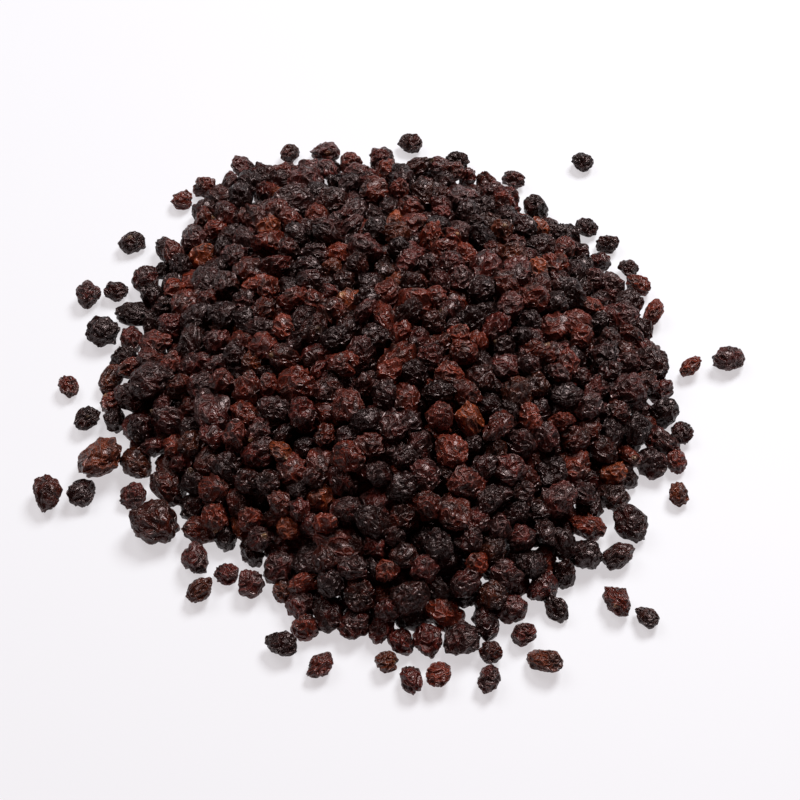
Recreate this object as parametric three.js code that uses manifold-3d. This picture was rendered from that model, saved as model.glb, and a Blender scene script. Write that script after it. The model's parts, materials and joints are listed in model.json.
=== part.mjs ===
// A heap of dried currants, the small wrinkled black grapes, tipped out on a table.
// The heap is one solid of fused currants. Each currant that lies clear of it is a solid of its own.
// Units are millimetres, +Z is up, and the origin is on the table under the middle of the heap.
import * as THREE from "three";
import { ConvexHull } from "three/addons/math/ConvexHull.js";
import { mergeVertices } from "three/addons/utils/BufferGeometryUtils.js";
import Module from "manifold-3d";

const wasm = await Module();
wasm.setup();

// Driving dimensions of the heap
const RIM_RADII = [
  64, 60, 62, 63, 65, 68, 70, 69, 71, 66, 62, 57,
  61, 54, 51, 49, 48, 57, 58, 60, 57, 57, 55, 59,
]; // reach of the heap every 15 degrees, anticlockwise from +X
const CROWN_HEIGHT = 18; // how far the topmost centre may stand above those at the rim
const RIM_HEIGHT = 3.4; // highest centre at the rim, which leaves one layer there
const THIN_FROM = 0.87; // share of the reach from which fewer and fewer currants lie
const THINNING = 0.7; // share of them that is missing at the rim
const MOST_CURRANTS = 1300;
const MOST_MISSES = 500; // drops in a row that find no room before the heap counts as full

// Driving dimensions of a currant in the heap
const SMALLEST_RADIUS = 1.95;
const RADIUS_SPREAD = 1.55;
const BIG_SHARE = 0.035;
const BIG_RADIUS = 3.7;
const BIG_SPREAD = 0.9;
const PACKING = 0.93; // dried currants press together to this share of their radius
const GRIP = 0.6; // a currant stays where the slope under it is gentler than this

// How the surface of the heap is drawn over the currants that lie on top
const COVERED = 0.5; // a currant whose top lies deeper than this under another is left out
const RING_SIDES = 6; // corners round each currant
const RING_REACH = 0.7; // how far out they are, as a share of its radius
const RING_WOBBLE = 0.12; // and how much that differs from corner to corner
const FOOT_SIDES = 8; // corners round its foot, where it stands at the edge of the heap
const FOOT_REACH = 1.15;
const EDGE_SHARE = 0.93; // the edge of the heap starts at this share of its reach
const NEIGHBOURS = 12; // currants further apart than this have bare table between them
const PIT_DEPTH = 0.6; // how far a pit goes down past the lowest middle of the currants round it
const THINNEST = 0.8; // the least thickness between currants that touch
const CLOSEST = 0.75; // corners closer than this are one
const FRAME_RADIUS = 95; // the surface is drawn out to here, below the table, and cut off at the table
const FRAME_SIDES = 24;
const BELOW = 1; // how far below the table it runs outside the heap

// Loose currants, from the far side round to the near one: where each lies on the table,
// its size across and deep, how far it is turned in degrees, and its skin
const LOOSE = [
  { x: 6.2, y: 74.4, across: 6.4, deep: 5.0, turn: 0, skin: "brown" },
  { x: 46.7, y: 68.7, across: 5.9, deep: 5.4, turn: 20, skin: "black" },
  { x: -32.8, y: 66.5, across: 6.3, deep: 6.0, turn: 60, skin: "black" },
  { x: -57, y: 44, across: 6.8, deep: 5.7, turn: 10, skin: "black" },
  { x: -46.5, y: 57, across: 5.6, deep: 5.2, turn: 40, skin: "red" },
  { x: -41.5, y: 61, across: 6.0, deep: 5.4, turn: 0, skin: "brown" },
  { x: -22, y: 71.8, across: 5.2, deep: 4.6, turn: 35, skin: "red" },
  { x: -13.8, y: 71.6, across: 8.0, deep: 7.4, turn: 60, skin: "black" },
  { x: 17.2, y: 68.6, across: 6.6, deep: 5.0, turn: 170, skin: "brown" },
  { x: 30.3, y: 63.1, across: 6.0, deep: 4.9, turn: 170, skin: "black" },
  { x: 75.1, y: 11, across: 7.8, deep: 6.0, turn: 165, skin: "black" },
  { x: 66.7, y: 9.4, across: 5.3, deep: 5.2, turn: 0, skin: "red" },
  { x: 59.6, y: 23.8, across: 5.4, deep: 7.2, turn: 5, skin: "red" },
  { x: 57, y: 31.5, across: 6.2, deep: 5.8, turn: 40, skin: "red" },
  { x: 55.2, y: 35.7, across: 5.4, deep: 4.9, turn: 15, skin: "brown" },
  { x: 51, y: 44.1, across: 5.9, deep: 5.1, turn: 150, skin: "red" },
  { x: 45.5, y: 48.3, across: 5.6, deep: 5.2, turn: 0, skin: "black" },
  { x: 62.5, y: -7.8, across: 5.0, deep: 5.4, turn: 0, skin: "black" },
  { x: 61.1, y: -14.1, across: 5.0, deep: 5.8, turn: 10, skin: "brown" },
  { x: 61.4, y: -23, across: 4.6, deep: 5.9, turn: 160, skin: "amber" },
  { x: 48, y: -38, across: 7.3, deep: 6.0, turn: 0, skin: "brown" },
  { x: 51, y: -31, across: 8.4, deep: 7.2, turn: 30, skin: "black" },
  { x: 46.9, y: -48.3, across: 6.0, deep: 7.5, turn: 20, skin: "brown" },
  { x: 53, y: -51.7, across: 5.3, deep: 5.0, turn: 30, skin: "amber" },
  { x: 34.8, y: -49.5, across: 5.2, deep: 5.5, turn: 150, skin: "brown" },
  { x: 28.2, y: -55.5, across: 5.5, deep: 5.2, turn: 0, skin: "black" },
  { x: 32.1, y: -61.4, across: 7.5, deep: 6.5, turn: 0, skin: "amber" },
  { x: 21.6, y: -59.4, across: 5.1, deep: 4.8, turn: 10, skin: "red" },
  { x: 21.7, y: -64.4, across: 5.0, deep: 6.1, turn: 0, skin: "black" },
  { x: 11.4, y: -64.4, across: 5.2, deep: 6.2, turn: 20, skin: "red" },
  { x: 6.4, y: -66, across: 5.0, deep: 6.4, turn: 170, skin: "black" },
  { x: 3.4, y: -60.5, across: 5.5, deep: 4.9, turn: 20, skin: "amber" },
  { x: -11.7, y: -62.2, across: 5.6, deep: 5.5, turn: 0, skin: "brown" },
  { x: -19.4, y: -57.9, across: 7.2, deep: 5.5, turn: 20, skin: "brown" },
  { x: -25.7, y: -44.5, across: 6.0, deep: 6.8, turn: 165, skin: "black" },
  { x: -31, y: -41.9, across: 5.3, deep: 4.9, turn: 0, skin: "black" },
  { x: -36, y: -45.8, across: 5.8, deep: 6.5, turn: 30, skin: "amber" },
  { x: -37.4, y: -36.1, across: 6.4, deep: 8.2, turn: 10, skin: "black" },
  { x: -46, y: -31, across: 11.2, deep: 9.8, turn: 160, skin: "red" },
  { x: -61.7, y: -22.8, across: 6.2, deep: 6.9, turn: 150, skin: "black" },
  { x: -68, y: -24.2, across: 6.5, deep: 8.4, turn: 160, skin: "red" },
  { x: -58.2, y: -15.6, across: 10.0, deep: 10.4, turn: 0, skin: "amber" },
  { x: -51.2, y: -23.4, across: 5.8, deep: 5.6, turn: 0, skin: "black" },
  { x: -62.3, y: -4.6, across: 6.0, deep: 6.3, turn: 40, skin: "brown" },
  { x: -67.3, y: 4.3, across: 4.8, deep: 5.5, turn: 0, skin: "brown" },
  { x: -60.4, y: 17.6, across: 8.8, deep: 7.8, turn: 150, skin: "black" },
  { x: -65.2, y: 29, across: 5.4, deep: 7.6, turn: 30, skin: "black" },
  { x: -59.2, y: 30, across: 6.1, deep: 4.9, turn: 15, skin: "brown" },
];
const LOOSE_HEIGHT = 0.86; // height of a loose currant, as a share of its mean width
const LOOSE_GAP = 0.35; // room kept round a loose currant
const LOOSE_STEP = 0.4; // how far apart the rings of places are that a loose currant tries
const LOOSE_RINGS = 30;
const PLACES_ROUND = 12; // places on each ring
const FOOT = 0.3; // a loose currant is flattened this far where it lies on the table
const FOLD_DEPTH = 0.09; // depth of its largest folds, as a share of its radius

// Skin colours and gloss
const SKINS = {
  black: { color: 0x2a2022, roughness: 0.5 },
  brown: { color: 0x47291f, roughness: 0.5 },
  red: { color: 0x5e2218, roughness: 0.45 },
  amber: { color: 0x8a3c18, roughness: 0.42 },
};

// The same draw every time: a linear congruential generator, from 0 up to 1
let seed = 20;
function draw() {
  seed = (seed * 1664525 + 1013904223) % 4294967296;
  return seed / 4294967296;
}

// Reach of the heap towards a point, between the stated radii
function reachTowards(x, y) {
  const turn = Math.atan2(y, x) / (2 * Math.PI);
  const place = (turn < 0 ? turn + 1 : turn) * RIM_RADII.length;
  const i = Math.floor(place) % RIM_RADII.length;
  const next = RIM_RADII[(i + 1) % RIM_RADII.length];
  return RIM_RADII[i] + (next - RIM_RADII[i]) * (place - Math.floor(place));
}

// Highest centre that the heap's slope allows at a share of its reach
function slopeAt(share) {
  return RIM_HEIGHT + CROWN_HEIGHT * Math.max(0, 1 - share * share);
}

// Height of a currant's centre when it meets the table, or the first currant below it
function restingHeight(x, y, r, placed) {
  let z = r;
  for (const c of placed) {
    const dx = x - c.x;
    const dy = y - c.y;
    const reach = c.pack + r;
    const left = reach * reach - (dx * dx + dy * dy);
    if (left > 0) z = Math.max(z, c.z + Math.sqrt(left));
  }
  return z;
}

// A dropped currant rolls downhill in ever shorter steps, until the slope no longer moves it
const DIAGONAL = 0.7071;
const COMPASS = [
  [1, 0], [DIAGONAL, DIAGONAL], [0, 1], [-DIAGONAL, DIAGONAL],
  [-1, 0], [-DIAGONAL, -DIAGONAL], [0, -1], [DIAGONAL, -DIAGONAL],
];
const FIRST_STEP = 2;
const LAST_STEP = 0.1;

function rollDown(x, y, r, placed) {
  let place = [x, y, restingHeight(x, y, r, placed)];
  let step = FIRST_STEP;
  while (step > LAST_STEP) {
    let best = place;
    for (const [ux, uy] of COMPASS) {
      const nx = place[0] + ux * step;
      const ny = place[1] + uy * step;
      const nz = restingHeight(nx, ny, r, placed);
      if (nz < best[2]) best = [nx, ny, nz];
    }
    if (best[2] < place[2] - GRIP * step) place = best;
    else step = step / 2;
  }
  return place;
}

// Every currant of the heap, dropped one by one until no more find room
function pourHeap() {
  const placed = [];
  const widest = Math.max(...RIM_RADII);
  let misses = 0;
  while (placed.length < MOST_CURRANTS && misses < MOST_MISSES) {
    const x0 = (draw() * 2 - 1) * widest;
    const y0 = (draw() * 2 - 1) * widest;
    const big = draw() < BIG_SHARE;
    const size = draw() + draw();
    const luck = draw();
    const r = big ? BIG_RADIUS + BIG_SPREAD * size / 2 : SMALLEST_RADIUS + RADIUS_SPREAD * size / 2;
    const pack = r * PACKING;
    const [x, y, z] = rollDown(x0, y0, pack, placed);
    const share = Math.sqrt(x * x + y * y) / reachTowards(x, y);
    const missing = THINNING * (share - THIN_FROM) / (1 - THIN_FROM);
    if (share > 1 || luck < missing || z > slopeAt(share)) {
      misses += 1;
      continue;
    }
    misses = 0;
    placed.push({ x, y, z, r, pack });
  }
  return placed;
}

// Height of the topmost currant over a point, or of the table
function topAt(x, y, placed, except = null) {
  let z = -BELOW;
  for (const c of placed) {
    const left = c.r * c.r - (x - c.x) ** 2 - (y - c.y) ** 2;
    if (left > 0 && c !== except) z = Math.max(z, c.z + Math.sqrt(left));
  }
  return z;
}

// The triangles that join points of a plane evenly: the underside of their hull
// once they are lifted onto a round bowl. Each is three places in the list, anticlockwise.
function joinEvenly(points) {
  const lifted = points.map(([x, y]) => new THREE.Vector3(x, y, (x * x + y * y) / FRAME_RADIUS));
  const placeOf = new Map(lifted.map((point, i) => [point, i]));
  const hull = new ConvexHull().setFromPoints(lifted);
  return hull.faces.filter((face) => face.normal.z < 0).map((face) => {
    const { edge } = face;
    return [edge, edge.prev, edge.next].map((e) => placeOf.get(e.head().point));
  });
}

// Corners of the heap's surface: the top of each currant, a ring round it, the pits between
// currants, and on the bare side of the outer ones their feet on the table
function surfaceCorners(placed) {
  const corners = [];
  const add = (x, y, z) => {
    const near = corners.some(([cx, cy]) => (cx - x) ** 2 + (cy - y) ** 2 < CLOSEST * CLOSEST);
    if (!near) corners.push([x, y, z]);
  };
  const onTop = placed.filter((c) => topAt(c.x, c.y, placed) < c.z + c.r + COVERED);
  onTop.forEach((c) => add(c.x, c.y, topAt(c.x, c.y, placed)));
  for (const [i, j, k] of joinEvenly(onTop.map((c) => [c.x, c.y]))) {
    const three = [onTop[i], onTop[j], onTop[k]];
    const apart = three.map((c, n) => Math.hypot(c.x - three[(n + 1) % 3].x, c.y - three[(n + 1) % 3].y));
    const x = (three[0].x + three[1].x + three[2].x) / 3;
    const y = (three[0].y + three[1].y + three[2].y) / 3;
    const lowest = Math.min(...three.map((c) => c.z)) - PIT_DEPTH;
    if (Math.max(...apart) < NEIGHBOURS) add(x, y, Math.max(THINNEST, lowest, topAt(x, y, placed)));
  }
  for (const c of onTop) {
    const first = draw();
    for (let i = 0; i < RING_SIDES; i += 1) {
      const angle = ((i + first) / RING_SIDES) * 2 * Math.PI;
      const share = RING_REACH * (1 + RING_WOBBLE * (draw() - 0.5));
      const x = c.x + Math.cos(angle) * c.r * share;
      const y = c.y + Math.sin(angle) * c.r * share;
      const z = c.z + c.r * Math.sqrt(1 - share * share);
      if (topAt(x, y, placed, c) < z) add(x, y, z);
    }
  }
  for (const c of onTop) {
    for (let i = 0; i < FOOT_SIDES; i += 1) {
      const angle = (i / FOOT_SIDES) * 2 * Math.PI;
      const x = c.x + Math.cos(angle) * c.r * FOOT_REACH;
      const y = c.y + Math.sin(angle) * c.r * FOOT_REACH;
      const atEdge = Math.hypot(x, y) > EDGE_SHARE * reachTowards(x, y);
      if (atEdge && topAt(x, y, placed) < 0) add(x, y, -BELOW);
    }
  }
  return corners;
}

// A geometry as a solid, with its shared corners merged
function solidOf(geometry) {
  const bare = new THREE.BufferGeometry();
  bare.setAttribute("position", geometry.getAttribute("position"));
  if (geometry.index) bare.setIndex(geometry.index);
  const merged = mergeVertices(bare, 1e-4);
  return new wasm.Manifold(new wasm.Mesh({
    numProp: 3,
    vertProperties: new Float32Array(merged.attributes.position.array),
    triVerts: new Uint32Array(merged.index.array),
  }));
}

// A solid as a geometry again
function geometryOf(solid) {
  const mesh = solid.getMesh();
  const geometry = new THREE.BufferGeometry();
  geometry.setAttribute("position", new THREE.BufferAttribute(new Float32Array(mesh.vertProperties), 3));
  geometry.setIndex(new THREE.BufferAttribute(new Uint32Array(mesh.triVerts), 1));
  geometry.computeVertexNormals();
  return geometry;
}

// Nothing reaches below the table
function keepAboveTable(geometry) {
  const at = geometry.attributes.position;
  for (let i = 0; i < at.count; i += 1) at.setZ(i, Math.max(0, at.getZ(i)));
}

// The heap: its surface, closed well below the table and then cut off level with it
function heapSolid() {
  const corners = surfaceCorners(pourHeap());
  const frame = [];
  for (let i = 0; i < FRAME_SIDES; i += 1) {
    const angle = (i / FRAME_SIDES) * 2 * Math.PI;
    frame.push([Math.cos(angle) * FRAME_RADIUS, Math.sin(angle) * FRAME_RADIUS]);
  }
  const first = corners.length;
  corners.push(...frame.map(([x, y]) => [x, y, -BELOW]));
  const faces = joinEvenly(corners);
  corners.push(...frame.map(([x, y]) => [x, y, -2 * BELOW]));
  corners.push([0, 0, -2 * BELOW]);
  for (let i = 0; i < FRAME_SIDES; i += 1) {
    const here = first + i;
    const next = first + (i + 1) % FRAME_SIDES;
    faces.push([here, here + FRAME_SIDES, next + FRAME_SIDES], [here, next + FRAME_SIDES, next]);
    faces.push([first + 2 * FRAME_SIDES, next + FRAME_SIDES, here + FRAME_SIDES]);
  }
  const geometry = new THREE.BufferGeometry();
  geometry.setAttribute("position", new THREE.Float32BufferAttribute(corners.flat(), 3));
  geometry.setIndex(faces.flat());
  const table = new THREE.BoxGeometry(3 * FRAME_RADIUS, 3 * FRAME_RADIUS, 4 * BELOW);
  table.translate(0, 0, -2 * BELOW);
  const above = solidOf(geometry).subtract(solidOf(table));
  return above.decompose().sort((a, b) => b.volume() - a.volume())[0];
}

// A loose currant at the origin: an oval with folds, flattened where it lies
function looseGeometry({ across, deep, turn }, phase) {
  const geometry = new THREE.IcosahedronGeometry(1, 1);
  const at = geometry.attributes.position;
  const point = new THREE.Vector3();
  for (let i = 0; i < at.count; i += 1) {
    point.fromBufferAttribute(at, i);
    const broad = Math.sin(3.1 * point.x + phase) * Math.cos(2.9 * point.y - phase);
    const fine = Math.sin(6.3 * point.y + 2 * phase) * Math.sin(5.7 * point.z + phase);
    point.multiplyScalar(1 - FOLD_DEPTH * (0.5 + 0.6 * broad + 0.4 * fine));
    at.setXYZ(i, point.x, point.y, point.z);
  }
  const tall = LOOSE_HEIGHT * (across + deep) / 2;
  geometry.scale(across / 2, deep / 2, tall / 2);
  geometry.rotateZ(THREE.MathUtils.degToRad(turn));
  geometry.computeBoundingBox();
  geometry.translate(0, 0, -geometry.boundingBox.min.z - FOOT);
  keepAboveTable(geometry);
  return geometry;
}

// The places around a point, nearest first, each as how far it is from there
function placesNearby() {
  const found = [[0, 0]];
  for (let ring = 1; ring <= LOOSE_RINGS; ring += 1) {
    for (let i = 0; i < PLACES_ROUND; i += 1) {
      const angle = (i / PLACES_ROUND) * 2 * Math.PI;
      found.push([Math.cos(angle) * ring * LOOSE_STEP, Math.sin(angle) * ring * LOOSE_STEP]);
    }
  }
  return found;
}

// Each loose currant lies where it is listed, or at the nearest place that is clear of the rest
function placeLoose(heap) {
  const taken = [heap];
  const nearby = placesNearby();
  return LOOSE.map((entry, k) => {
    const geometry = looseGeometry(entry, k);
    const grown = 1 + 2 * LOOSE_GAP / Math.min(entry.across, entry.deep);
    const room = geometry.clone().scale(grown, grown, 1);
    const roomAt = ([dx, dy]) => solidOf(room.clone().translate(entry.x + dx, entry.y + dy, 0));
    const isClear = (solid) => taken.every((other) => other.intersect(solid).isEmpty());
    const shift = nearby.find((step) => isClear(roomAt(step)));
    taken.push(roomAt(shift));
    const mesh = new THREE.Mesh(geometry, skinMaterial(entry.skin));
    mesh.name = "currant_loose_" + String(k + 1).padStart(2, "0");
    mesh.position.set(entry.x + shift[0], entry.y + shift[1], 0);
    return mesh;
  });
}

function skinMaterial(name) {
  const material = new THREE.MeshStandardMaterial({ ...SKINS[name], metalness: 0, flatShading: true });
  material.name = name + "_skin";
  return material;
}

const heap = heapSolid();
const heapMesh = new THREE.Mesh(geometryOf(heap), skinMaterial("black"));
heapMesh.name = "currant_heap";

const currants = new THREE.Group();
currants.name = "heap_of_currants";
currants.add(heapMesh, ...placeLoose(heap));

export default currants;
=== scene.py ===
# %% [markdown]
# A heap of dried currants
#
# Currants are the smallest dried grapes. Each one starts as a round black berry the size of
# a pea and loses four fifths of its water in the sun. The skin can't shrink as the flesh
# does, so it folds into a net of narrow ridges with hollows between them.
#
# Nobody arranges a heap like this one. It is poured, and every currant rolls until its
# neighbours hold it. So the lesson does the same: it pours the heap by a rule, models one
# currant by a formula, and lets a seed make each of the eleven hundred differ.
#
# Everything is in metres here. Sizes of a currant are easier to think of in millimetres,
# so they are written as 2.25 * MM.

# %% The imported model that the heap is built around
import json
import math

import bpy
import numpy as np
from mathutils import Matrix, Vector


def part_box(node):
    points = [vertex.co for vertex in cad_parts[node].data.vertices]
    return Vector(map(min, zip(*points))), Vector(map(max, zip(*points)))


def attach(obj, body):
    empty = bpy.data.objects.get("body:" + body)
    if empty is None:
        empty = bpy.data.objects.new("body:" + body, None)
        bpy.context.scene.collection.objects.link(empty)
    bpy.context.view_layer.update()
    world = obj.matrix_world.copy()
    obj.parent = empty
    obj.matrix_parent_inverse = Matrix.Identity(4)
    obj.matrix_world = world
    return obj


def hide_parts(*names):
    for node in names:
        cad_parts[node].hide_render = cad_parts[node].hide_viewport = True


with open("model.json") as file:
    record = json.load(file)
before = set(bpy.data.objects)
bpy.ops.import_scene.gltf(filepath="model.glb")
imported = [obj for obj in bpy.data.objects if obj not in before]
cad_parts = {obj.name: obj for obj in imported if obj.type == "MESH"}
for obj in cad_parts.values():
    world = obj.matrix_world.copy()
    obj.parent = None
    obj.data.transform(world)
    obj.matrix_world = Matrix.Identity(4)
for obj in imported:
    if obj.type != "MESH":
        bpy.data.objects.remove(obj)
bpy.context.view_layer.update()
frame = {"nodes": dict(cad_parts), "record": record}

MM = 0.001
HEAP_NODE = "currant_heap"
loose_nodes = sorted(name for name in frame["nodes"] if name != HEAP_NODE)
print("solids to dress:", HEAP_NODE, "and", len(loose_nodes), "loose currants")

# %% [markdown]
# ## The view
#
# The heap is seen from the height of somebody standing at the table and looking down, about
# 55 degrees above it. The near currants look a fifth larger than the far ones, so the camera
# is close, with a lens a little longer than a standard one. A tripod could be faked with an
# empty to look at, but turning the camera towards a point takes one line and leaves
# nothing else in the file.

# %% Camera
LENS_MM = 85
ELEVATION = math.radians(55)
DISTANCE = 406 * MM
AIM = Vector((3.9 * MM, 2.1 * MM, 0))

camera_data = bpy.data.cameras.new("camera")
camera_data.lens = LENS_MM
camera_data.sensor_width = 36
camera_data.clip_start = 10 * MM
camera = bpy.data.objects.new("camera", camera_data)
bpy.context.scene.collection.objects.link(camera)
camera.location = AIM + DISTANCE * Vector((0, -math.cos(ELEVATION), math.sin(ELEVATION)))
camera.rotation_euler = (AIM - camera.location).to_track_quat("-Z", "Y").to_euler()
bpy.context.scene.camera = camera
print("camera", [round(v, 4) for v in camera.location], "m from the heap's middle")

# %% [markdown]
# ## Pouring the heap
#
# The currants could be dropped as rigid bodies, but a simulation of eleven hundred of them
# takes minutes and never lands twice alike. A cheaper rule looks as natural: each currant
# falls straight down until it touches one below, then creeps downhill in steps that get
# shorter. Dried currants are sticky, so it stops as soon as the slope is gentle, which leaves
# deep gaps between some of them. It stays if it lies within the heap's outline and slope,
# and is thrown away if it doesn't. The draws come from a small generator with a fixed seed, so
# the heap is the same one every time and the same one as the solid it replaces.
#
# Small currants sift down between large ones, so at the end every gap that would go down to
# the bare table gets a small one. Only the gaps near the rim stay open.

# %% Outline, slope and sizes
RIM_RADII = [
    64, 60, 62, 63, 65, 68, 70, 69, 71, 66, 62, 57,
    61, 54, 51, 49, 48, 57, 58, 60, 57, 57, 55, 59,
]  # reach of the heap every 15 degrees, anticlockwise from +X, in millimetres
CROWN_HEIGHT = 18  # how far the topmost middle may stand above those at the rim
RIM_HEIGHT = 3.4  # highest middle at the rim, which leaves one layer there
THIN_FROM = 0.87  # share of the reach from which fewer and fewer currants lie
THINNING = 0.7  # share of them that is missing at the rim
MOST_CURRANTS = 1300
MOST_MISSES = 500  # drops in a row that find no room before the heap counts as full
SMALLEST_RADIUS = 1.95
RADIUS_SPREAD = 1.55
BIG_SHARE = 0.035
BIG_RADIUS = 3.7
BIG_SPREAD = 0.9
PACKING = 0.93  # dried currants press together to this share of their radius


class Draws:
    """The same draws every time, from 0 up to 1."""

    FACTOR = 1664525
    SHIFT = 1013904223
    WRAP = 4294967296

    def __init__(self, seed):
        self.state = seed

    def draw(self):
        self.state = (self.state * self.FACTOR + self.SHIFT) % self.WRAP
        return self.state / self.WRAP


def reach_towards(x, y):
    """Reach of the heap towards a point, in millimetres."""
    turn = math.atan2(y, x) / (2 * math.pi)
    place = (turn + 1 if turn < 0 else turn) * len(RIM_RADII)
    i = math.floor(place) % len(RIM_RADII)
    following = RIM_RADII[(i + 1) % len(RIM_RADII)]
    return RIM_RADII[i] + (following - RIM_RADII[i]) * (place - math.floor(place))


def slope_at(share):
    """Highest middle that the slope allows at a share of the reach."""
    return RIM_HEIGHT + CROWN_HEIGHT * max(0, 1 - share * share)


print("the heap reaches from", min(RIM_RADII), "to", max(RIM_RADII), "mm out")

# %% A currant falls, then creeps downhill
DIAGONAL = 0.7071
COMPASS = np.array([
    (1, 0), (DIAGONAL, DIAGONAL), (0, 1), (-DIAGONAL, DIAGONAL),
    (-1, 0), (-DIAGONAL, -DIAGONAL), (0, -1), (DIAGONAL, -DIAGONAL),
])
FIRST_STEP = 2
LAST_STEP = 0.1
GRIP = 0.6  # a currant stays where the slope under it is gentler than this


def resting_heights(places, r, placed):
    """Heights of a currant's middle over several places at once."""
    dx = places[:, 0:1] - placed[:, 0]
    dy = places[:, 1:2] - placed[:, 1]
    reach = placed[:, 3] + r
    left = reach * reach - (dx * dx + dy * dy)
    heights = np.where(left > 0, placed[:, 2] + np.sqrt(np.maximum(left, 0)), r)
    return np.maximum(heights.max(axis=1, initial=r), r)


def roll_down(x, y, r, placed):
    place = np.array([x, y])
    z = resting_heights(place[None], r, placed)[0]
    step = FIRST_STEP
    while step > LAST_STEP:
        around = place + COMPASS * step
        heights = resting_heights(around, r, placed)
        best = int(heights.argmin())
        if heights[best] < z - GRIP * step:
            place, z = around[best], heights[best]
        else:
            step = step / 2
    return place[0], place[1], z


def pour_heap(seed):
    """Rows of x, y, z, packed radius and radius, in millimetres."""
    random = Draws(seed)
    widest = max(RIM_RADII)
    rows = np.zeros((MOST_CURRANTS, 5))
    count = 0
    misses = 0
    while count < MOST_CURRANTS and misses < MOST_MISSES:
        x0 = (random.draw() * 2 - 1) * widest
        y0 = (random.draw() * 2 - 1) * widest
        big = random.draw() < BIG_SHARE
        size = random.draw() + random.draw()
        luck = random.draw()
        r = BIG_RADIUS + BIG_SPREAD * size / 2 if big else SMALLEST_RADIUS + RADIUS_SPREAD * size / 2
        x, y, z = roll_down(x0, y0, r * PACKING, rows[:count])
        share = math.sqrt(x * x + y * y) / reach_towards(x, y)
        missing = THINNING * (share - THIN_FROM) / (1 - THIN_FROM)
        if share > 1 or luck < missing or z > slope_at(share):
            misses += 1
            continue
        misses = 0
        rows[count] = x, y, z, r * PACKING, r
        count += 1
    return rows[:count]


POUR_SEED = 20
poured = pour_heap(POUR_SEED)
print("currants in the heap:", len(poured), "topmost middle at", round(poured[:, 2].max(), 3), "mm")

# %% Small currants in the gaps
FILL_WITHIN = 0.88  # share of the reach within which gaps are closed
FILL_STEP = 0.5  # how closely the table is searched
BARE = 0.4  # radius of the smallest gap that counts
FILLER_RADIUS = 2.1


def fillers(placed):
    """Rows of further currants that lie on the table in the gaps."""
    steps = np.arange(-max(RIM_RADII), max(RIM_RADII), FILL_STEP)
    x, y = (grid.ravel() for grid in np.meshgrid(steps, steps))
    within = [math.hypot(*place) < FILL_WITHIN * reach_towards(*place) for place in zip(x, y)]
    places = np.stack([x, y], axis=1)[within]
    places = places[resting_heights(places, BARE, placed) <= BARE]
    found = []
    while len(places):
        middle = places[0]
        found.append([*middle, FILLER_RADIUS, FILLER_RADIUS * PACKING, FILLER_RADIUS])
        places = places[np.linalg.norm(places - middle, axis=1) > FILLER_RADIUS]
    return np.array(found).reshape(-1, 5)


small_ones = fillers(poured)
poured = np.concatenate([poured, small_ones])
print("small currants in the gaps:", len(small_ones), "so the heap holds", len(poured))

# %% [markdown]
# ## Which currants show
#
# Only the outermost currants are ever seen, and those deserve the faces. The rest carry
# them and fill the dark gaps, so they can be coarse. To find out, each middle is looked at
# from many directions round the sides and the sky: the share of directions in which no
# other currant stands before it says how much of it shows.

# %% How open each currant lies
SIGHT = 22  # millimetres; a currant further off hides nothing


def look_directions():
    steps = (-2, -1, 0, 1, 2)
    found = [(i, j, up) for up in (0, 1, 2) for i in steps for j in steps]
    found = np.array([d for d in found if any(d)], float)
    found /= np.linalg.norm(found, axis=1)[:, None]
    return np.unique(found.round(6), axis=0)


def open_shares(rows):
    away = rows[None, :, :3] - rows[:, None, :3]
    squared = (away ** 2).sum(axis=2)
    near = (squared > 0) & (squared < SIGHT ** 2)
    limit = rows[:, 3] ** 2
    directions = look_directions()
    opened = np.zeros(len(rows))
    for direction in directions:
        along = away @ direction
        blocked = near & (along > 0) & (squared - along ** 2 < limit)
        opened += ~blocked.any(axis=1)
    return opened / len(directions)


shares = open_shares(poured)
print("directions:", len(look_directions()), "currants that show in any:", int((shares > 0).sum()))

# %% [markdown]
# ## A ball with even faces
#
# Each currant starts as a ball. Blender's UV sphere crowds its faces at two poles, and its
# icosphere can only double its detail. An eight-sided gem blown up to a ball has neither
# fault: any number of rows fits, and it unfolds into a plain square, which gives every
# currant a neat cell of its own for a texture.

# %% The blown-up gem
ball_cache = {}


def ball(rows):
    """Unit vectors, triangles, and the flat corner places of a ball with 8 * rows**2 faces."""
    if rows in ball_cache:
        return ball_cache[rows]
    steps = np.arange(-rows, rows + 1) / rows
    u, v = np.meshgrid(steps, steps, indexing="ij")
    low = np.abs(u) + np.abs(v) > 1
    x = np.where(low, (1 - np.abs(v)) * np.where(u < 0, -1, 1), u)
    y = np.where(low, (1 - np.abs(u)) * np.where(v < 0, -1, 1), v)
    z = 1 - np.abs(u) - np.abs(v)
    gem = np.stack([x, y, z], axis=-1).reshape(-1, 3)
    keys = (gem * rows).round().astype(int)
    unique, first, places = np.unique(keys, axis=0, return_index=True, return_inverse=True)
    places = places.reshape(-1)
    blown = np.sin(gem[first] * math.pi / 2)
    blown /= np.linalg.norm(blown, axis=1)[:, None]
    i, j = np.meshgrid(np.arange(2 * rows), np.arange(2 * rows), indexing="ij")
    side = 2 * rows + 1
    a, b = i * side + j, (i + 1) * side + j
    c, d = (i + 1) * side + j + 1, i * side + j + 1
    rising = ((i < rows) != (j < rows))[..., None]
    one = np.where(rising, np.stack([a, b, c], -1), np.stack([a, b, d], -1))
    two = np.where(rising, np.stack([a, c, d], -1), np.stack([b, c, d], -1))
    lattice = np.concatenate([one.reshape(-1, 3), two.reshape(-1, 3)])
    flat = np.stack([u, v], axis=-1).reshape(-1, 2)[lattice] / 2 + 0.5
    ball_cache[rows] = (blown, places[lattice], flat)
    return ball_cache[rows]


unit, triangles, corners = ball(12)
print("a ball of 12 rows has", len(unit), "points and", len(triangles), "triangles")

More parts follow.
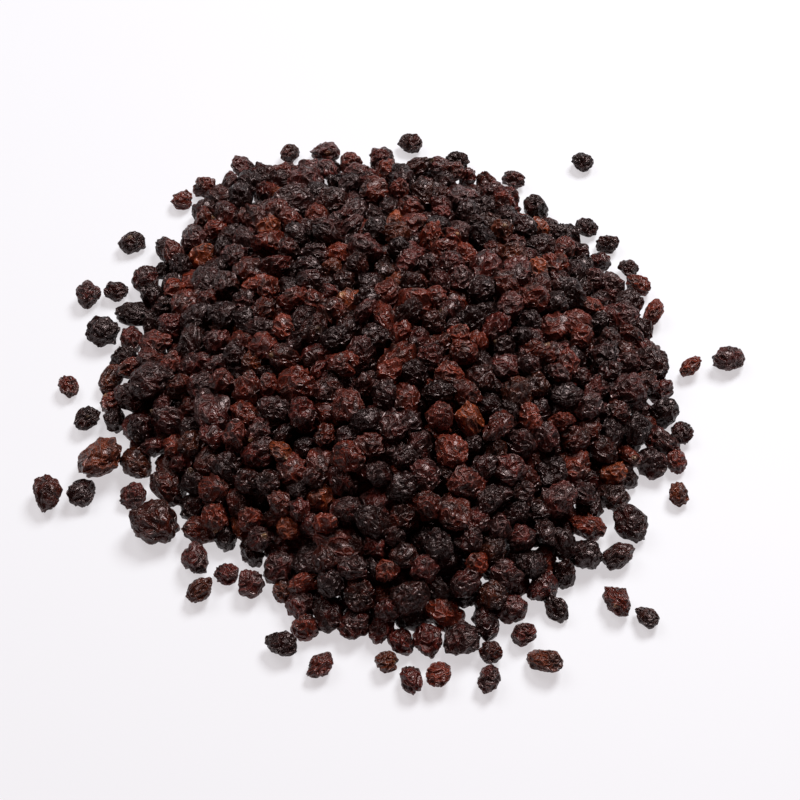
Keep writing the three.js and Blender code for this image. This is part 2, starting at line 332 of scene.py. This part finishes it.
# %% [markdown]
# ## Soft noise
#
# Wrinkles need a noise that is smooth, the same on every run, and quick for half a million
# points. Blender's own noise works one point at a time. This is the classic gradient noise
# written with numpy: each corner of a cube lattice gets a fixed random direction, and a
# point between them blends the eight.

# %% Gradient noise
noise_random = np.random.default_rng(7)
LATTICE = 256
shuffled = noise_random.permutation(LATTICE)
gradients = noise_random.normal(size=(LATTICE, 3))
gradients /= np.linalg.norm(gradients, axis=1)[:, None]


def noise(points):
    """Smooth noise from about -0.7 to 0.7."""
    base = np.floor(points).astype(int)
    part = points - base
    fade = part ** 3 * (part * (part * 6 - 15) + 10)
    total = np.zeros(len(points))
    for corner in range(8):
        offset = np.array([corner & 1, corner >> 1 & 1, corner >> 2 & 1])
        cell = (base + offset) % LATTICE
        key = shuffled[(shuffled[(shuffled[cell[:, 0]] + cell[:, 1]) % LATTICE] + cell[:, 2]) % LATTICE]
        weight = np.where(offset, fade, 1 - fade).prod(axis=1)
        total += weight * (gradients[key] * (part - offset)).sum(axis=1)
    return total


line = noise(np.linspace(0, 100, 5000)[:, None] * np.array([1, 0.7, 0.4]))
print("noise along a line runs from", line.min().round(2), "to", line.max().round(2))

# %% [markdown]
# ## One currant
#
# A berry dries from a ball to a lumpy, slightly flat pebble. Three things make it look
# right. Broad dents with a sharp brim, where a side has fallen in. Winding ridges, which
# stand where two independent noises pass through nil: such lines never end, they close into
# loops and cross each other, and so do the folds of a skin too large for its flesh. A large
# currant has wider folds. And the two ends: the blossom end keeps a small ring, and some stem
# ends keep a nub. Sculpting would give one beautiful currant. A formula gives eleven hundred.
#
# The distance to the two families of ridges is kept with every point of the mesh. It changes
# evenly from point to point, so the finish can draw a ridge much sharper than the faces are.

# %% Ridges, dents and the two ends
RIDGE_SPACING = 1.65 * MM  # from one ridge to the next in each of the two families
RIDGE_HEIGHT = 0.42 * MM
RIDGE_WIDTH = 0.42 * MM
WIDE_FROM = 3.3 * MM  # on a larger radius the ridges are wider, as if they had grown with it
OTHER_FAMILY = 43  # shift of the noise that gives the second family
NUDGE = 0.02  # step for measuring how steep the noise is
LEAST_SLOPE = 0.3
BROAD_LUMPS = 1.3  # how many lumps to a radius
SMALL_LUMPS = 2.6
SMALL_LUMP_SHARE = 0.75
SMALL_LUMP_SHIFT = 31
FEWEST_DENTS = 3
MOST_DENTS = 6
DENT_EDGES = (0.35, 0.8)  # cosine of the angle from a dent's middle to its edge
BRIM_WIDTH = 0.16
LEAST_DENT = 0.35  # the shallowest dent, as a share of the deepest
LUMP_HEIGHT = 0.27  # heights and depths, from here on, are shares of the radius
DENT_DEPTH = 0.28
DENT_BRIM = 0.06
RING_HEIGHT = 0.07
HOLE_DEPTH = 0.15
NUB_HEIGHT = 0.22
STEM_HOLLOW = 0.07
RING_ANGLE = 0.30  # from the blossom end to the top of its ring, in radians as the next three
RING_WIDTH = 0.10
HOLE_WIDTH = 0.17
STEM_WIDTH = 0.16
BLOSSOM_SHARE = 0.55  # of the currants, which show a ring at the blossom end
STEM_SHARE = 0.16  # of the currants, which keep a nub of their stem
LONG_SHARE = 0.25  # of the currants, which are longer than the rest
LONG_BY = 0.35


def turn_matrix(random):
    """A turn in space, drawn evenly."""
    q = random.normal(size=4)
    w, x, y, z = q / np.linalg.norm(q)
    return np.array([
        [1 - 2 * (y * y + z * z), 2 * (x * y - w * z), 2 * (x * z + w * y)],
        [2 * (x * y + w * z), 1 - 2 * (x * x + z * z), 2 * (y * z - w * x)],
        [2 * (x * z - w * y), 2 * (y * z + w * x), 1 - 2 * (x * x + y * y)],
    ])


def ridge_distance(unit, radius, shift):
    """How far each point is from the nearest ridge of one family, signed by its side.

    It is in metres, which a large currant's wider ridges stretch alike."""
    place = unit * min(radius, WIDE_FROM) / RIDGE_SPACING + shift
    here = noise(place)
    slope = np.stack([(noise(place + step) - here) / NUDGE for step in NUDGE * np.eye(3)], axis=1)
    slope -= (slope * unit).sum(axis=1)[:, None] * unit
    steep = np.maximum(np.linalg.norm(slope, axis=1), LEAST_SLOPE)
    return here / steep * RIDGE_SPACING


def dent(unit, random):
    """The fall of one dent and its brim, as a share of the radius."""
    middle = random.normal(size=3)
    middle /= np.linalg.norm(middle)
    edge = random.uniform(*DENT_EDGES)
    inside = (unit @ middle - edge) / (1 - edge)
    bowl = 1 - (1 - np.clip(inside, 0, 1)) ** 2
    brim = np.exp(-(inside / BRIM_WIDTH) ** 2)
    return DENT_BRIM * brim - DENT_DEPTH * random.uniform(LEAST_DENT, 1) * (1 - edge) ** 0.5 * bowl


def currant_shape(rows, radius, random):
    """Points of one currant about its middle, in metres, and what its finish has to know of each."""
    unit = ball(rows)[0]
    shift = random.uniform(0, 100, 3)
    near_a = ridge_distance(unit, radius, shift)
    near_b = ridge_distance(unit, radius, shift + OTHER_FAMILY)
    lumps = noise(unit * BROAD_LUMPS + shift)
    lumps = lumps + SMALL_LUMP_SHARE * noise(unit * SMALL_LUMPS + shift + SMALL_LUMP_SHIFT)
    height = 1 + LUMP_HEIGHT * lumps
    for _ in range(random.integers(FEWEST_DENTS, MOST_DENTS + 1)):
        height += dent(unit, random)
    nearest = np.minimum(np.abs(near_a), np.abs(near_b))
    height += RIDGE_HEIGHT / min(radius, WIDE_FROM) * np.exp(-(nearest / RIDGE_WIDTH) ** 2)
    blossom = np.arccos(np.clip(unit[:, 2], -1, 1))
    if random.random() < BLOSSOM_SHARE:
        ring = np.exp(-((blossom - RING_ANGLE) / RING_WIDTH) ** 2)
        hole = np.exp(-(blossom / HOLE_WIDTH) ** 2)
        height += RING_HEIGHT * ring - HOLE_DEPTH * hole
    stem = np.exp(-((math.pi - blossom) / STEM_WIDTH) ** 2)
    has_stem = random.random() < STEM_SHARE
    height /= height.mean()
    height += (NUB_HEIGHT if has_stem else -STEM_HOLLOW) * stem
    longer = random.uniform(0.9, 1.2) + LONG_BY * (random.random() < LONG_SHARE)
    axes = np.array([random.uniform(0.95, 1.15), random.uniform(0.75, 1.0), longer])
    axes /= axes.prod() ** (1 / 3)
    points = unit * height[:, None] * axes * radius
    points -= points.mean(axis=0)
    marks = {"ridge_a": near_a / MM, "ridge_b": near_b / MM, "stem": stem * has_stem}
    for label in ("tint", "wax"):
        marks[label] = np.full(len(points), random.random())
    return points, marks


test_points, test_marks = currant_shape(12, 2.8 * MM, np.random.default_rng(1))
print("a currant measures", (np.ptp(test_points, axis=0) / MM).round(2), "mm")

# %% [markdown]
# ## Skins
#
# Most currants dry almost black, some stay brown, and the ones that were picked less ripe
# turn red or amber. Four skins are enough, because each currant also draws its own tint
# from dark to light inside its skin. Every skin gathers the currants of one quarter of the
# heap in one mesh: eleven hundred objects would be slow, and one would be too heavy.
#
# Dried currants nestle into each other, so each is a little fuller than the ball it was
# packed as. The buried ones are fuller still, until they close the gaps between them.

# %% Shares of the skins, and detail by how much shows
SKIN_SHARES = {"black": 0.51, "brown": 0.25, "red": 0.175, "amber": 0.065}
DETAIL = [
    (340, 14, 1.13), (620, 10, 1.13), (860, 6, 1.25), (MOST_CURRANTS, 4, 1.45),
]  # up to which currant, counted from the most open one; rows of its ball; fullness
LOOSE_DETAIL = 15
openness_order = np.empty(len(poured), int)
openness_order[np.argsort(-shares, kind="stable")] = np.arange(len(poured))
skin_random = np.random.default_rng(11)
skin_names = list(SKIN_SHARES)
weights = np.array([SKIN_SHARES[name] for name in skin_names])
skins = skin_random.choice(len(skin_names), size=len(poured), p=weights / weights.sum())
quarters = (poured[:, 0] > 0).astype(int) + 2 * (poured[:, 1] > 0).astype(int)
QUARTER_NAMES = ["near_left", "near_right", "far_left", "far_right"]


def detail_for(order):
    return next((rows, fullness) for limit, rows, fullness in DETAIL if order < limit)


print("currants of each skin:", {name: int((skins == s).sum()) for s, name in enumerate(skin_names)})

# %% Several currants become one mesh
CELL_MARGIN = 0.02  # left free on each side of a texture cell


def mesh_of(name, parts):
    """One object from parts of (points, rows, marks), with a texture cell for each part."""
    cells = math.ceil(math.sqrt(len(parts)))
    points, faces, flats = [], [], []
    start = 0
    for k, (own, rows, marks) in enumerate(parts):
        unit, triangles, flat = ball(rows)
        points.append(own)
        faces.append(triangles + start)
        cell = np.array([k % cells, k // cells])
        flats.append((cell + CELL_MARGIN + (1 - 2 * CELL_MARGIN) * flat) / cells)
        start += len(own)
    points, faces, flats = (np.concatenate(part) for part in (points, faces, flats))
    mesh = bpy.data.meshes.new(name)
    mesh.vertices.add(len(points))
    mesh.loops.add(faces.size)
    mesh.polygons.add(len(faces))
    mesh.vertices.foreach_set("co", points.astype(np.float32).ravel())
    mesh.loops.foreach_set("vertex_index", faces.astype(np.int32).ravel())
    mesh.polygons.foreach_set("loop_start", np.arange(0, faces.size, 3, dtype=np.int32))
    mesh.polygons.foreach_set("use_smooth", np.ones(len(faces), bool))
    mesh.update(calc_edges=True)
    uv = mesh.uv_layers.new(name="OFBake")
    uv.data.foreach_set("uv", flats.astype(np.float32).ravel())
    for label in parts[0][2]:
        values = np.concatenate([marks[label] for own, rows, marks in parts])
        attribute = mesh.attributes.new(label, "FLOAT", "POINT")
        attribute.data.foreach_set("value", values.astype(np.float32))
    piece = bpy.data.objects.new(name, mesh)
    bpy.context.scene.collection.objects.link(piece)
    return piece


# %% [markdown]
# ## The skin's finish
#
# Close up, a currant is half glossy. The ridges are lighter and the hollows darker: partly the
# skin's own colour, which is deeper in the hollows, and partly painted light on the ridges and
# painted shade in the hollows. A grey, waxy coat lies heaviest on the crests as a painted sheen,
# and here and there the skin is thin enough for the brown flesh to show. All four skins share
# this, so it is one shader group with named inputs, and each material sets its own colours. An
# image of a real currant would be quicker, but its wrinkles would not follow these.

# %% Skin group
CREST_END = 0.3  # millimetres from the middle of a ridge to the foot of its crest, where the painted sheen lies heaviest
RISE_END = 0.45  # millimetres from there to where the hollow's colour, with its painted shade, begins
PATCH_SIZE = 3.2 * MM
FOLD_SIZE = 0.75 * MM
GRAIN_SIZE = 0.32 * MM
FOLD_EDGE = 0.07  # how near the noise is to its middle value in a fine fold
FOLD_LIGHT = 0.12  # share of the painted light and shade that the fine folds give, in the colour and in the bump
BUMP_DEPTH = 0.28 * MM
GRAIN_BUMP = 0.18  # share of the bump's height that the grain adds
# the grey of the waxy coat, which also serves as a painted sheen on the crests
BLOOM_AND_SHEEN_COLOR = (0.19, 0.115, 0.11, 1)
STEM_COLOR = (0.32, 0.19, 0.09, 1)
DARKEST_TINT = 0.26
LIGHTEST_TINT = 1.75


def add_socket(group, name, direction, kind, default=None):
    socket = group.interface.new_socket(name=name, in_out=direction, socket_type=kind)
    if default is not None:
        socket.default_value = default
    return socket


def skin_group():
    group = bpy.data.node_groups.new("Wrinkled skin", "ShaderNodeTree")
    add_socket(group, "Shaded Hollow Color", "INPUT", "NodeSocketColor", (0.01, 0.006, 0.006, 1))
    add_socket(group, "Lit Ridge Color", "INPUT", "NodeSocketColor", (0.06, 0.04, 0.04, 1))
    add_socket(group, "Thin Color", "INPUT", "NodeSocketColor", (0.1, 0.02, 0.01, 1))
    add_socket(group, "Thin Share", "INPUT", "NodeSocketFloat", 0.3)
    add_socket(group, "Bloom And Sheen", "INPUT", "NodeSocketFloat", 0.3)
    add_socket(group, "Color", "OUTPUT", "NodeSocketColor")
    add_socket(group, "Roughness", "OUTPUT", "NodeSocketFloat")
    add_socket(group, "Normal", "OUTPUT", "NodeSocketVector")
    nodes, links = group.nodes, group.links
    given = nodes.new("NodeGroupInput")
    made = nodes.new("NodeGroupOutput")
    place = nodes.new("ShaderNodeTexCoord")

    def attribute(name):
        node = nodes.new("ShaderNodeAttribute")
        node.attribute_name = name
        return node.outputs["Fac"]

    def noise_node(size, detail=2.0, roughness=0.55):
        node = nodes.new("ShaderNodeTexNoise")
        node.inputs["Scale"].default_value = 1 / size
        node.inputs["Detail"].default_value = detail
        node.inputs["Roughness"].default_value = roughness
        links.new(place.outputs["Object"], node.inputs["Vector"])
        return node.outputs["Fac"]

    def ranged(value, low, high, to_low=0.0, to_high=1.0):
        node = nodes.new("ShaderNodeMapRange")
        node.interpolation_type = "SMOOTHSTEP"
        for socket, given_value in zip(("From Min", "From Max", "To Min", "To Max"),
                                       (low, high, to_low, to_high)):
            if isinstance(given_value, (int, float)):
                node.inputs[socket].default_value = given_value
            else:
                links.new(given_value, node.inputs[socket])
        links.new(value, node.inputs["Value"])
        return node.outputs["Result"]

    def maths(operation, a, b):
        node = nodes.new("ShaderNodeMath")
        node.operation = operation
        for socket, value in zip(node.inputs, (a, b)):
            if isinstance(value, (int, float)):
                socket.default_value = value
            else:
                links.new(value, socket)
        return node.outputs[0]

    def mix(share, a, b):
        node = nodes.new("ShaderNodeMix")
        node.data_type = "RGBA"
        for socket, value in (("Factor", share), ("A", a), ("B", b)):
            target = next(s for s in node.inputs if s.name == socket and s.enabled)
            if isinstance(value, (int, float, tuple)):
                target.default_value = value
            else:
                links.new(value, target)
        return next(s for s in node.outputs if s.enabled)

    tint, wax, stem = attribute("tint"), attribute("wax"), attribute("stem")
    near_a = maths("ABSOLUTE", attribute("ridge_a"), 0)
    near_b = maths("ABSOLUTE", attribute("ridge_b"), 0)
    nearest = maths("MINIMUM", near_a, near_b)
    crest = ranged(nearest, 0.02, CREST_END, 1.0, 0.0)
    rise = ranged(nearest, 0.0, RISE_END, 1.0, 0.0)
    patches = noise_node(PATCH_SIZE, 2)
    grain = noise_node(GRAIN_SIZE, 4, 0.65)
    folds = maths("ABSOLUTE", maths("SUBTRACT", noise_node(FOLD_SIZE, 1), 0.5), 0)
    folds = ranged(folds, 0.0, FOLD_EDGE, 1.0, 0.0)
    # From the hollow's colour to the ridge's: partly the skin's own deeper colour in the hollows, partly
    # painted shade there and painted light on the ridges and fine folds.
    broad_light = maths("MULTIPLY", rise, 1 - FOLD_LIGHT)
    light = maths("ADD", broad_light, maths("MULTIPLY", folds, FOLD_LIGHT))
    color = mix(light, given.outputs["Shaded Hollow Color"], given.outputs["Lit Ridge Color"])
    thin_edge = maths("SUBTRACT", 0.72, maths("MULTIPLY", given.outputs["Thin Share"], 0.45))
    thin_edge = maths("SUBTRACT", thin_edge, maths("MULTIPLY", tint, 0.1))
    thin = ranged(patches, thin_edge, maths("ADD", thin_edge, 0.1))
    # The thin patches also darken towards the hollows, as painted shade.
    through = ranged(light, 0.0, 1.0, 0.35, 1.0)
    glow = mix(through, given.outputs["Shaded Hollow Color"], given.outputs["Thin Color"])
    color = mix(thin, color, glow)
    # A grey, waxy coat in grains, weighted towards the crests as a painted sheen and scaled by each
    # currant's wax.
    bloom_and_sheen = maths("MULTIPLY", ranged(grain, 0.42, 0.7), given.outputs["Bloom And Sheen"])
    bloom_and_sheen = maths("MULTIPLY", bloom_and_sheen, ranged(crest, 0.0, 1.0, 0.2, 1.0))
    bloom_and_sheen = maths("MULTIPLY", bloom_and_sheen, ranged(wax, 0.2, 1.0, 0.3, 2.2))
    color = mix(bloom_and_sheen, color, BLOOM_AND_SHEEN_COLOR)
    color = mix(maths("MULTIPLY", stem, 0.8), color, STEM_COLOR)
    shade = ranged(tint, 0.0, 1.0, DARKEST_TINT, LIGHTEST_TINT)
    bright = nodes.new("ShaderNodeVectorMath")
    bright.operation = "SCALE"
    links.new(color, bright.inputs[0])
    links.new(shade, bright.inputs["Scale"])
    links.new(bright.outputs[0], made.inputs["Color"])
    rough = maths("ADD", ranged(grain, 0.3, 0.75, 0.2, 0.4), maths("MULTIPLY", bloom_and_sheen, 0.3))
    links.new(rough, made.inputs["Roughness"])
    fine = nodes.new("ShaderNodeBump")
    fine.inputs["Strength"].default_value = 1.0
    fine.inputs["Distance"].default_value = BUMP_DEPTH
    small = maths("ADD", maths("MULTIPLY", folds, FOLD_LIGHT), maths("MULTIPLY", grain, GRAIN_BUMP))
    links.new(maths("ADD", crest, small), fine.inputs["Height"])
    links.new(fine.outputs["Normal"], made.inputs["Normal"])
    return group


wrinkled_skin = skin_group()
print("group", wrinkled_skin.name, "with", len(wrinkled_skin.nodes), "nodes")

# %% Four skins
# Each hollow colour is the skin's deep colour darkened with painted shade; each ridge colour is lightened
# as painted light.
SKINS = {
    "black": {
        "Shaded Hollow Color": (0.006, 0.0008, 0.0006, 1), "Lit Ridge Color": (0.038, 0.014, 0.012, 1),
        "Thin Color": (0.060, 0.007, 0.004, 1), "Thin Share": 0.42, "Bloom And Sheen": 0.2,
    },
    "brown": {
        "Shaded Hollow Color": (0.008, 0.0013, 0.0008, 1), "Lit Ridge Color": (0.056, 0.020, 0.015, 1),
        "Thin Color": (0.085, 0.011, 0.0045, 1), "Thin Share": 0.55, "Bloom And Sheen": 0.18,
    },
    "red": {
        "Shaded Hollow Color": (0.014, 0.0016, 0.0009, 1), "Lit Ridge Color": (0.066, 0.022, 0.014, 1),
        "Thin Color": (0.119, 0.0155, 0.005, 1), "Thin Share": 0.6, "Bloom And Sheen": 0.16,
    },
    "amber": {
        "Shaded Hollow Color": (0.018, 0.0022, 0.0008, 1), "Lit Ridge Color": (0.084, 0.028, 0.017, 1),
        "Thin Color": (0.158, 0.029, 0.007, 1), "Thin Share": 0.6, "Bloom And Sheen": 0.15,
    },
}


def skin_material(name, values):
    material = bpy.data.materials.new(name + "_skin")
    material.use_nodes = True
    nodes, links = material.node_tree.nodes, material.node_tree.links
    shader = nodes["Principled BSDF"]
    shader.inputs["Specular IOR Level"].default_value = 0.6
    shader.inputs["Specular Tint"].default_value = (1.0, 0.775, 0.76, 1)
    group = nodes.new("ShaderNodeGroup")
    group.node_tree = wrinkled_skin
    for socket, value in values.items():
        group.inputs[socket].default_value = value
    links.new(group.outputs["Color"], shader.inputs["Base Color"])
    links.new(group.outputs["Roughness"], shader.inputs["Roughness"])
    links.new(group.outputs["Normal"], shader.inputs["Normal"])
    return material


materials = {name: skin_material(name, values) for name, values in SKINS.items()}
print("skins:", ", ".join(materials))

# %% [markdown]
# ## The heap
#
# Now every poured currant gets its shape. It is turned at random, set at its place, and
# where it would reach below the table its skin is pressed flat, as a soft currant's is.

# %% Every currant of the heap
def set_down(points):
    points[:, 2] = np.maximum(points[:, 2], 0)
    return points


def heap_currant(k):
    random = np.random.default_rng([3, k])
    x, y, z, pack, radius = poured[k]
    rows, fullness = detail_for(openness_order[k])
    points, marks = currant_shape(rows, pack * fullness * MM, random)
    points = points @ turn_matrix(random).T + np.array([x, y, z]) * MM
    return set_down(points), rows, marks


def dress(piece, skin, node):
    piece.data.materials.append(materials[skin])
    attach(piece, "root")
    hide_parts(node)


for quarter, quarter_name in enumerate(QUARTER_NAMES):
    for s, skin in enumerate(skin_names):
        members = np.flatnonzero((quarters == quarter) & (skins == s))
        piece = mesh_of(f"heap_{quarter_name}_{skin}", [heap_currant(k) for k in members])
        dress(piece, skin, HEAP_NODE)
        print(piece.name, len(members), "currants", len(piece.data.polygons), "triangles")

# %% [markdown]
# ## Loose currants
#
# The strays round the foot are seen whole, so they get the most faces. Each takes its place
# and its size from the solid that it replaces: it is turned, then stretched to the solid's
# box, which keeps it the right length and lying on the table.

# %% Every loose currant
def loose_currant(node, k):
    random = np.random.default_rng([5, k])
    low, high = (np.array(corner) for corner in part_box(node))
    size = high - low
    points, marks = currant_shape(LOOSE_DETAIL, size.mean() / 2, random)
    points = points @ turn_matrix(random).T
    points = (points - points.min(axis=0)) / np.ptp(points, axis=0)
    return low + points * size, LOOSE_DETAIL, marks


slot_of = {part["node"]: part["material_slot"] for part in frame["record"]["subparts"]}
for k, node in enumerate(loose_nodes):
    skin = slot_of[node].removesuffix("_skin")
    piece = mesh_of(node.replace("currant_loose", "stray_currant"), [loose_currant(node, k)])
    dress(piece, skin, node)
print("loose currants:", len(loose_nodes), "with", 8 * LOOSE_DETAIL ** 2, "triangles each")

# %% [markdown]
# ## Table and light
#
# The table is plain white and runs on past the view. It glows a little by itself, so it
# looks white without lamps so strong that they would bleach the currants. One large soft lamp
# stands behind and to the right, so the shadows of the strays fall softly to the near left,
# and a weaker one at the far left fills them.
#
# The room is dim and red to the currants, which leaves the deep red in their gaps that light
# gets on its way through thin skins. To the camera it is as white as the far table. Letting
# the light really pass through every skin would look alike and take many times as long.

# %% Table
FLOOR_HALF = 60
TABLE_GLOW = (1, 0.96, 0.985, 1)
TABLE_GLOW_STRENGTH = 0.58
floor_mesh = bpy.data.meshes.new("floor")
floor_corners = [(-1, -1), (1, -1), (1, 1), (-1, 1)]
floor_mesh.from_pydata([(x * FLOOR_HALF, y * FLOOR_HALF, 0) for x, y in floor_corners], [], [(0, 1, 2, 3)])
floor = bpy.data.objects.new("floor", floor_mesh)
bpy.context.scene.collection.objects.link(floor)
floor_material = bpy.data.materials.new("white_table")
floor_material.use_nodes = True
floor_shader = floor_material.node_tree.nodes["Principled BSDF"]
floor_shader.inputs["Base Color"].default_value = (0.305, 0.32, 0.34, 1)
floor_shader.inputs["Roughness"].default_value = 0.6
floor_shader.inputs["Emission Color"].default_value = TABLE_GLOW
floor_shader.inputs["Emission Strength"].default_value = TABLE_GLOW_STRENGTH
floor_mesh.materials.append(floor_material)
print("table", 2 * FLOOR_HALF, "m wide")


# %% Light
def soft_lamp(name, place, width, power):
    """A round lamp that faces the heap; its width is in metres and its power in watts."""
    data = bpy.data.lights.new(name, "AREA")
    data.shape = "DISK"
    data.size = width
    data.energy = power
    lamp = bpy.data.objects.new(name, data)
    lamp.location = place
    lamp.rotation_euler = (-Vector(place)).to_track_quat("-Z", "Y").to_euler()
    bpy.context.scene.collection.objects.link(lamp)
    return lamp


soft_lamp("key", (0.245, 0.385, 0.625), 0.34, 6.3)
soft_lamp("far_left", (-0.36, 0.30, 0.66), 0.5, 2.15)

# %% Room
RED_GLOW = (1, 0.2, 0.16, 1)
RED_GLOW_STRENGTH = 0.054
world = bpy.data.worlds.new("room")
world.use_nodes = True
room_nodes, room_links = world.node_tree.nodes, world.node_tree.links
red_room = room_nodes["Background"]
red_room.inputs["Color"].default_value = RED_GLOW
red_room.inputs["Strength"].default_value = RED_GLOW_STRENGTH
white_room = room_nodes.new("ShaderNodeBackground")
white_room.inputs["Color"].default_value = TABLE_GLOW
white_room.inputs["Strength"].default_value = TABLE_GLOW_STRENGTH
ray = room_nodes.new("ShaderNodeLightPath")
room_mix = room_nodes.new("ShaderNodeMixShader")
room_links.new(ray.outputs["Is Camera Ray"], room_mix.inputs["Fac"])
room_links.new(red_room.outputs["Background"], room_mix.inputs[1])
room_links.new(white_room.outputs["Background"], room_mix.inputs[2])
room_links.new(room_mix.outputs["Shader"], room_nodes["World Output"].inputs["Surface"])
bpy.context.scene.world = world
bpy.context.scene.view_settings.view_transform = "Standard"
print("room:", len(room_nodes), "nodes")
